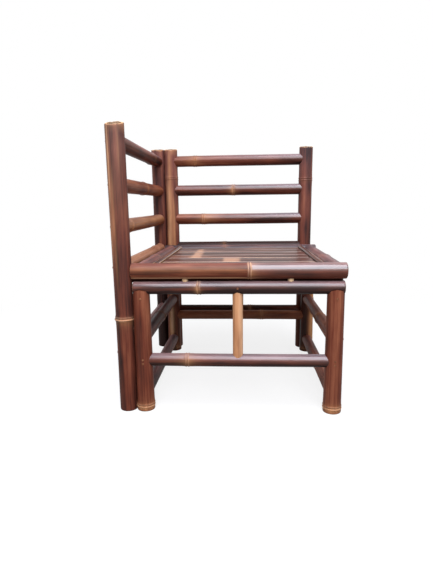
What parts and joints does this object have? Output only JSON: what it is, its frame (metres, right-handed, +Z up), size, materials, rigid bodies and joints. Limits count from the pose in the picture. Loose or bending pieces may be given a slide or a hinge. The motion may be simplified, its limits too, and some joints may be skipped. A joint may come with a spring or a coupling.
{
  "type": "bamboo corner chair",
  "caption": "Bamboo corner chair: pole-framed stool base, slatted seat panel and ladder backs on the left and rear sides, fish-mouthed and dowelled together.",
  "frame": {"origin": "on the floor, in the middle of the box round the chair", "axes": "+Z up, +Y from the front of the seat towards the rear back, +X to the right as seen from the front"},
  "size_m": [0.6542, 0.6548, 0.815],
  "materials": {
    "dark_bamboo": "dark stained culm under gloss varnish",
    "split_bamboo": "dark stained split bamboo, satin varnish, shaved pale nodes",
    "pale_bamboo": "tan bamboo under satin varnish",
    "raw_wood": "unfinished turned wood"
  },
  "bodies": {
    "root": {"base_dowels": "raw_wood", "base_pegs": "raw_wood", "clamp_strip_left": "split_bamboo", "clamp_strip_right": "split_bamboo", "ledger_left": "split_bamboo", "ledger_right": "split_bamboo", "left_back_dowels": "raw_wood", "left_back_pegs": "raw_wood", "left_post_back": "dark_bamboo", "left_post_front": "dark_bamboo", "left_rail_1": "dark_bamboo", "left_rail_2": "dark_bamboo", "left_rail_3": "dark_bamboo", "left_rail_4": "pale_bamboo", "left_rail_low": "dark_bamboo", "leg_back_left": "dark_bamboo", "leg_back_right": "dark_bamboo", "leg_dowels": "raw_wood", "leg_front_left": "dark_bamboo", "leg_front_right": "dark_bamboo", "rear_back_dowels": "raw_wood", "rear_back_pegs": "raw_wood", "rear_post_left": "dark_bamboo", "rear_post_right": "dark_bamboo", "rear_rail_1": "dark_bamboo", "rear_rail_2": "dark_bamboo", "rear_rail_3": "dark_bamboo", "rear_rail_4": "dark_bamboo", "rear_rail_low": "dark_bamboo", "seat_batten_back": "split_bamboo", "seat_batten_front": "split_bamboo", "seat_bearer": "dark_bamboo", "seat_dowels": "raw_wood", "seat_frame_dowels": "raw_wood", "seat_pole_back": "dark_bamboo", "seat_pole_front": "dark_bamboo", "seat_pole_left": "dark_bamboo", "seat_pole_right": "dark_bamboo", "seat_slat_1": "split_bamboo", "seat_slat_2": "split_bamboo", "seat_slat_3": "split_bamboo", "seat_slat_4": "split_bamboo", "seat_slat_5": "split_bamboo", "seat_slat_6": "split_bamboo", "slat_pegs": "raw_wood", "stretcher_back": "dark_bamboo", "stretcher_front": "dark_bamboo", "stretcher_left_lower": "dark_bamboo", "stretcher_left_upper": "dark_bamboo", "stretcher_right_lower": "dark_bamboo", "stretcher_right_upper": "dark_bamboo", "strut_back": "pale_bamboo", "strut_dowels": "raw_wood", "strut_front": "pale_bamboo", "strut_pegs": "raw_wood", "tie_dowels": "raw_wood", "top_rail_back": "dark_bamboo", "top_rail_front": "dark_bamboo"}
  },
  "joints": []
}
